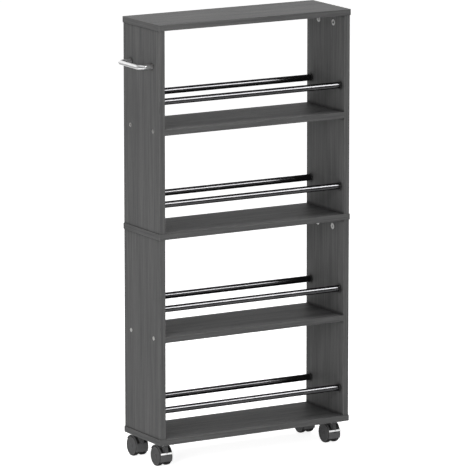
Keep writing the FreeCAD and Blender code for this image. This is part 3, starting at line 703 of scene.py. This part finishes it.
def build_tyre_tree():
    tree, start, end = geo_tree("grooved_tyre", [
        ("Centre", VECTOR), ("Outer Radius", FLOAT), ("Core Radius", FLOAT), ("Width", FLOAT),
        ("Crown", FLOAT), ("Groove Depth", FLOAT), ("Groove Place", FLOAT),
        ("Groove Half Width", FLOAT), ("Steps Round", INTEGER), ("Steps Across", INTEGER),
        ("Material", MATERIAL)])
    value = start.outputs
    grid = node(tree, "GeometryNodeMeshGrid",
                {"Size X": 1.0, "Size Y": 1.0, "Vertices X": value["Steps Round"],
                 "Vertices Y": value["Steps Across"]})
    uv = node(tree, "ShaderNodeSeparateXYZ", {"Vector": grid.outputs["UV Map"]}).outputs
    spin = math_node(tree, "MULTIPLY", uv["X"], 2 * math.pi)
    turn = math_node(tree, "MULTIPLY", uv["Y"], 2 * math.pi)

    def soft_square(wave):
        steep = math_node(tree, "MULTIPLY", math_node(tree, wave, turn), SQUARENESS)
        return math_node(tree, "DIVIDE", math_node(tree, "TANH", steep), math.tanh(SQUARENESS))

    across = soft_square("COSINE")
    outward = soft_square("SINE")
    half_width = math_node(tree, "MULTIPLY", value["Width"], 0.5)
    x = math_node(tree, "MULTIPLY", across, half_width)
    half_band = math_node(tree, "MULTIPLY",
                          math_node(tree, "SUBTRACT", value["Outer Radius"],
                                    value["Core Radius"]), 0.5)
    band_middle = math_node(tree, "ADD", value["Core Radius"], half_band)
    radius = math_node(tree, "MULTIPLY_ADD", outward, half_band, band_middle)
    on_tread = between(tree, outward, 0.2, 0.8)
    crown = math_node(tree, "MULTIPLY", math_node(tree, "POWER", across, 4.0), value["Crown"])
    from_groove = math_node(tree, "SUBTRACT", math_node(tree, "ABSOLUTE", x),
                            value["Groove Place"])
    into_groove = between(tree, math_node(tree, "ABSOLUTE", from_groove),
                          value["Groove Half Width"], 0.0)
    groove = math_node(tree, "MULTIPLY", into_groove, value["Groove Depth"])
    lowered = math_node(tree, "MULTIPLY", math_node(tree, "ADD", crown, groove), on_tread)
    radius = math_node(tree, "SUBTRACT", radius, lowered)
    place = node(tree, "ShaderNodeCombineXYZ", {
        "X": x, "Y": math_node(tree, "MULTIPLY", radius, math_node(tree, "COSINE", spin)),
        "Z": math_node(tree, "MULTIPLY", radius, math_node(tree, "SINE", spin))})
    centred = node(tree, "ShaderNodeVectorMath", {0: place.outputs["Vector"], 1: value["Centre"]},
                   operation="ADD")
    bent = node(tree, "GeometryNodeSetPosition",
                {"Geometry": grid.outputs["Mesh"], "Position": centred.outputs["Vector"]})
    closed = node(tree, "GeometryNodeMergeByDistance",
                  {"Geometry": bent.outputs["Geometry"], "Distance": 0.000002})
    finish_tree(tree, closed.outputs["Geometry"], start, end)
    return tree


TYRE_TREE = build_tyre_tree()
print("tree", TYRE_TREE.name, "of", len(TYRE_TREE.nodes), "nodes")

# %% [markdown]
# Each tyre takes its width and centre from the CAD tyre that it replaces, and rolls with its own
# wheel. A closed ring must hold a positive volume, or its faces point the wrong way; the sum
# over its triangles tells, and the faces are turned over if they have to be.

# %% Grow the eight tyres
TYRE_CROWN = 0.0009
GROOVE_DEPTH = 0.00045
GROOVE_PLACE = 0.0019             # each side of the tread's middle
GROOVE_HALF_WIDTH = 0.0006
TYRE_STEPS = 97
CUBIC_MM = 1e9                    # in a cubic metre


def signed_volume(mesh):
    """The volume inside a closed mesh, negative when its faces point inwards."""
    mesh.calc_loop_triangles()
    place = [vertex.co for vertex in mesh.vertices]
    return sum(place[a].dot(place[b].cross(place[c])) for a, b, c in
               (triangle.vertices for triangle in mesh.loop_triangles)) / 6


for caster in CASTERS:
    for side in SIDES:
        old = f"{caster}_{side}_tyre"
        low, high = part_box(old)
        tyre = grow(f"{caster}_{side}_grooved_tyre", TYRE_TREE, {
            "Centre": middle(old), "Outer Radius": WHEEL_RADIUS, "Core Radius": HUB_RADIUS,
            "Width": high.x - low.x, "Crown": TYRE_CROWN, "Groove Depth": GROOVE_DEPTH,
            "Groove Place": GROOVE_PLACE, "Groove Half Width": GROOVE_HALF_WIDTH,
            "Steps Round": TYRE_STEPS, "Steps Across": TYRE_STEPS, "Material": TYRE_RUBBER})
        if signed_volume(tyre.data) < 0:
            tyre.data.flip_normals()
        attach(tyre, f"{caster}_{side}_wheel")
        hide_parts(old)
print("grew 8 tyres of", len(tyre.data.polygons), "faces; each holds",
      round(signed_volume(tyre.data) * CUBIC_MM), "cubic mm of rubber")

# %% [markdown]
# ## Swivel races
#
# A caster turns on a ring of small balls between its plate and its neck. The ring shows in the
# gap under the plate as a bright line. The tree puts one ball on each point of a circle, and a
# thin steel washer above and below them keeps them in.

# %% The ball race tree
def build_race_tree():
    tree, start, end = geo_tree("ball_race", [
        ("Centre", VECTOR), ("Ring Radius", FLOAT), ("Ball Radius", FLOAT), ("Balls", INTEGER),
        ("Washer Half Width", FLOAT), ("Washer Half Thickness", FLOAT), ("Material", MATERIAL)])
    value = start.outputs
    ring = node(tree, "GeometryNodeMeshCircle",
                {"Vertices": value["Balls"], "Radius": value["Ring Radius"]})
    ball = node(tree, "GeometryNodeMeshUVSphere",
                {"Segments": 12, "Rings": 8, "Radius": value["Ball Radius"]})
    balls = node(tree, "GeometryNodeInstanceOnPoints",
                 {"Points": ring.outputs["Mesh"], "Instance": ball.outputs["Mesh"]})
    path = node(tree, "GeometryNodeCurvePrimitiveCircle",
                {"Resolution": 48, "Radius": value["Ring Radius"]})
    section = node(tree, "GeometryNodeCurvePrimitiveQuadrilateral", {
        "Width": math_node(tree, "MULTIPLY", value["Washer Half Width"], 2.0),
        "Height": math_node(tree, "MULTIPLY", value["Washer Half Thickness"], 2.0)})
    washer = node(tree, "GeometryNodeCurveToMesh",
                  {"Curve": path.outputs["Curve"], "Profile Curve": section.outputs["Curve"]})
    step = math_node(tree, "SUBTRACT", value["Ball Radius"], value["Washer Half Thickness"])
    joined = node(tree, "GeometryNodeJoinGeometry")
    for way in (1.0, -1.0):
        lift = node(tree, "ShaderNodeCombineXYZ", {"Z": math_node(tree, "MULTIPLY", step, way)})
        moved = node(tree, "GeometryNodeTransform", {"Geometry": washer.outputs["Mesh"],
                                                     "Translation": lift.outputs["Vector"]})
        tree.links.new(moved.outputs["Geometry"], joined.inputs["Geometry"])
    tree.links.new(balls.outputs["Instances"], joined.inputs["Geometry"])
    placed = node(tree, "GeometryNodeTransform", {"Geometry": joined.outputs["Geometry"],
                                                  "Translation": value["Centre"]})
    finish_tree(tree, placed.outputs["Geometry"], start, end)
    return tree


RACE_TREE = build_race_tree()
print("tree", RACE_TREE.name, "of", len(RACE_TREE.nodes), "nodes")

# %% [markdown]
# The race sits on the caster's body and turns with it. Its height is whatever the gap between
# the plate and the neck leaves, so the balls just touch the plate above them.

# %% Fill the gap under each plate
PLATE_THICKNESS = 0.002
RACE_RADIUS = 0.0056
BALLS = 16
WASHER_HALF_WIDTH = 0.0009
WASHER_HALF_THICKNESS = 0.00012

for caster in CASTERS:
    plate_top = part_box(caster + "_plate")[1].z
    body_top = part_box(caster + "_body")[1].z
    plate_centre = middle(caster + "_plate")
    gap = plate_top - PLATE_THICKNESS - body_top
    centre = Vector((plate_centre.x, plate_centre.y, body_top + gap / 2))
    race = grow(caster + "_ball_race", RACE_TREE, {
        "Centre": centre, "Ring Radius": RACE_RADIUS, "Ball Radius": gap / 2, "Balls": BALLS,
        "Washer Half Width": WASHER_HALF_WIDTH,
        "Washer Half Thickness": WASHER_HALF_THICKNESS, "Material": PIN_STEEL})
    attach(race, caster + "_caster")
print("4 ball races in a gap of", round(gap * 1000, 2), "mm")

# %% [markdown]
# ## Ribs on the brake pedals
#
# The bar of each brake pedal has a row of small upright ribs, so that a shoe doesn't slip off
# it. The tree lays points along the bar, leaves out those over the V in its middle, and stands
# a stretched ball on each: half of it is sunk in the bar, which gives a rib with soft ends.

# %% The rib tree
def build_rib_tree():
    tree, start, end = geo_tree("pedal_ribs", [
        ("Centre", VECTOR), ("Lean", FLOAT), ("Ribs", INTEGER), ("Pitch", FLOAT),
        ("Half Width", FLOAT), ("Half Length", FLOAT), ("Clear Half Width", FLOAT),
        ("Material", MATERIAL)])
    value = start.outputs
    spare = math_node(tree, "SUBTRACT", value["Ribs"], 1.0)
    first = math_node(tree, "MULTIPLY", math_node(tree, "MULTIPLY", spare, -0.5), value["Pitch"])
    from_here = node(tree, "ShaderNodeCombineXYZ", {"X": first})
    step = node(tree, "ShaderNodeCombineXYZ", {"X": value["Pitch"]})
    row = node(tree, "GeometryNodeMeshLine",
               {"Count": value["Ribs"], "Start Location": from_here.outputs["Vector"],
                "Offset": step.outputs["Vector"]}, mode="OFFSET")
    along = node(tree, "ShaderNodeSeparateXYZ",
                 {"Vector": node(tree, "GeometryNodeInputPosition").outputs["Position"]})
    clear = math_node(tree, "GREATER_THAN",
                      math_node(tree, "ABSOLUTE", along.outputs["X"]), value["Clear Half Width"])
    bead = node(tree, "GeometryNodeMeshUVSphere", {"Segments": 10, "Rings": 7, "Radius": 1.0})
    shape = node(tree, "ShaderNodeCombineXYZ", {"X": value["Half Width"],
                                                "Y": value["Half Width"],
                                                "Z": value["Half Length"]})
    ribs = node(tree, "GeometryNodeInstanceOnPoints",
                {"Points": row.outputs["Mesh"], "Selection": clear,
                 "Instance": bead.outputs["Mesh"], "Scale": shape.outputs["Vector"]})
    turn = node(tree, "ShaderNodeCombineXYZ", {"X": value["Lean"]})
    placed = node(tree, "GeometryNodeTransform",
                  {"Geometry": ribs.outputs["Instances"], "Translation": value["Centre"],
                   "Rotation": turn.outputs["Vector"]})
    finish_tree(tree, placed.outputs["Geometry"], start, end)
    return tree


RIB_TREE = build_rib_tree()
print("tree", RIB_TREE.name, "of", len(RIB_TREE.nodes), "nodes")

# %% [markdown]
# Only the front casters have a brake. The pedal's box gives the outer face of its bar: the
# bar is an arc round the axle, and its lower edge is the part that reaches furthest forward.

# %% Rib both pedals
PEDAL_ANGLE = math.radians(17.5)       # from the axle to the bar's middle, above the horizontal
PEDAL_HALF_SPAN = math.radians(4.0)
BRAKED_CASTERS = CASTERS[:2]
RIB_PITCH = 0.0019
RIB_HALF_WIDTH = 0.00028
RIB_HALF_LENGTH = 0.0015
NOTCH_CLEARANCE = 0.0042               # no rib this near the middle, where the V is

for caster in BRAKED_CASTERS:
    pedal_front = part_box(caster + "_brake_pedal")[0].y
    axle = axle_at[caster]
    outer = (axle.y - pedal_front) / math.cos(PEDAL_ANGLE - PEDAL_HALF_SPAN)
    centre = axle + Vector((0.0, -outer * math.cos(PEDAL_ANGLE), outer * math.sin(PEDAL_ANGLE)))
    ribs = grow(caster + "_pedal_ribs", RIB_TREE, {
        "Centre": centre, "Lean": -PEDAL_ANGLE, "Ribs": 16, "Pitch": RIB_PITCH,
        "Half Width": RIB_HALF_WIDTH, "Half Length": RIB_HALF_LENGTH,
        "Clear Half Width": NOTCH_CLEARANCE, "Material": PEDAL_PLASTIC})
    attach(ribs, caster + "_pedal")
print("ribs on a bar", round(outer * 1000, 1), "mm from the axle")

# %% [markdown]
# ## The studio
#
# A dark cart on white is lit like a catalogue picture: a white floor and backdrop, and a dark
# room behind the camera. What the tubes and the handle reflect matters more than what lights
# them. The dark room leaves the tubes black at their edges, and the backdrop and a bright patch
# of ceiling fill the handle's upper side. The floor glows a little, which keeps it white, but
# not for glossy rays, so that the tubes stay dark below.

# %% Floor and world
FLOOR_SIZE = 60.0
DARK_ROOM = (0.10, 0.10, 0.10, 1.0)
BRIGHT_CARD = (1.10, 1.10, 1.10, 1.0)
ROOM_LIGHT = (0.20, 0.20, 0.20, 1.0)
BEHIND_CART = (1.02, 1.02, 1.02, 1.0)
BACKDROP_TOP = 0.75          # sine of the elevation at which the white backdrop ends
CEILING_PATCH = 0.80         # and at which the bright patch of the ceiling starts


def studio_floor():
    mesh = bpy.data.meshes.new("studio_floor")
    half = FLOOR_SIZE / 2
    corners = [(-half, -half, 0.0), (half, -half, 0.0), (half, half, 0.0), (-half, half, 0.0)]
    mesh.from_pydata(corners, [], [(0, 1, 2, 3)])
    floor = bpy.data.objects.new("studio_floor", mesh)
    bpy.context.scene.collection.objects.link(floor)
    made, tree, shader, place = open_material("studio_floor", Roughness=0.9,
                                              Emission_Strength=0.85)
    shader.inputs["Base Color"].default_value = (0.80, 0.80, 0.80, 1.0)
    rays = node(tree, "ShaderNodeLightPath")
    glow = math_node(tree, "SUBTRACT", 1.0, rays.outputs["Is Glossy Ray"])
    tree.links.new(glow, shader.inputs["Emission Color"])
    mesh.materials.append(made)


def studio_world():
    world = bpy.data.worlds.new("studio")
    bpy.context.scene.world = world
    world.use_nodes = True
    tree = world.node_tree
    place = node(tree, "ShaderNodeTexCoord")
    split = node(tree, "ShaderNodeSeparateXYZ", {"Vector": place.outputs["Generated"]})
    behind = between(tree, split.outputs["Y"], 0.05, 0.45)
    low_down = between(tree, split.outputs["Z"], BACKDROP_TOP, BACKDROP_TOP - 0.2)
    ceiling = between(tree, split.outputs["Z"], CEILING_PATCH, CEILING_PATCH + 0.08)
    bright = math_node(tree, "MAXIMUM", math_node(tree, "MULTIPLY", behind, low_down), ceiling)
    room = blend_colours(tree, bright, DARK_ROOM, BRIGHT_CARD)
    rays = node(tree, "ShaderNodeLightPath")
    lit = blend_colours(tree, rays.outputs["Is Camera Ray"], ROOM_LIGHT, BEHIND_CART)
    seen = blend_colours(tree, rays.outputs["Is Glossy Ray"], lit, room)
    tree.links.new(seen, tree.nodes["Background"].inputs["Color"])


studio_floor()
studio_world()
print("floor and world ready")

# %% [markdown]
# Two broad panels light the boards: one overhead, and a weaker one low at the left front, which
# reaches into the compartments and onto the inner faces of the right-hand panels. Both are
# hidden from glossy rays. The soft box is the other way round: it is hidden from diffuse rays,
# so that it draws the line along every tube without flattening the boards.

# %% Lights
cart_centre = (cad_low + cad_high) / 2


def area_light(name, offset, size, power, **options):
    """A soft rectangular light at an offset from the cart's centre, pointing at it."""
    data = bpy.data.lights.new(name, "AREA")
    data.shape = "RECTANGLE"
    data.size, data.size_y = size
    data.energy = power
    light = bpy.data.objects.new(name, data)
    light.location = cart_centre + Vector(offset)
    light.rotation_euler = (-Vector(offset)).to_track_quat("-Z", "Y").to_euler()
    light.visible_camera = False
    for key, value in options.items():
        setattr(light, key, value)
    bpy.context.scene.collection.objects.link(light)


area_light("overhead_panel", (0.0, -0.2, 2.6), (3.0, 2.0), 81.0, visible_glossy=False)
area_light("left_fill", (-2.6, -1.8, 0.7), (1.5, 1.5), 71.0, visible_glossy=False)
area_light("front_soft_box", (2.0, -2.6, 2.3), (2.2, 1.5), 155.0, visible_diffuse=False)
bpy.context.scene.view_settings.view_transform = "Standard"
print("studio ready")

# %% [markdown]
# ## The camera
#
# The cart is seen from its left front, a little above eye level of a seated person, from far
# away through a long lens, which keeps the upright edges almost parallel.

# %% Camera
CAMERA_AZIMUTH = math.radians(30.29)     # how far to the right of +Y the camera looks
CAMERA_ELEVATION = math.radians(11.11)
CAMERA_DISTANCE = 11.558
CAMERA_LENS = 360.2
CAMERA_AIM = Vector((0.01245, -0.00625, 0.5432))


def camera():
    data = bpy.data.cameras.new("camera")
    data.lens = CAMERA_LENS
    data.sensor_width = 36.0
    data.clip_end = 100.0
    made = bpy.data.objects.new("camera", data)
    look = Vector((math.sin(CAMERA_AZIMUTH) * math.cos(CAMERA_ELEVATION),
                   math.cos(CAMERA_AZIMUTH) * math.cos(CAMERA_ELEVATION),
                   -math.sin(CAMERA_ELEVATION)))
    made.location = CAMERA_AIM - look * CAMERA_DISTANCE
    made.rotation_euler = look.to_track_quat("-Z", "Y").to_euler()
    bpy.context.scene.collection.objects.link(made)
    bpy.context.scene.camera = made


camera()
print("camera", CAMERA_DISTANCE, "m away through a lens of", CAMERA_LENS, "mm")
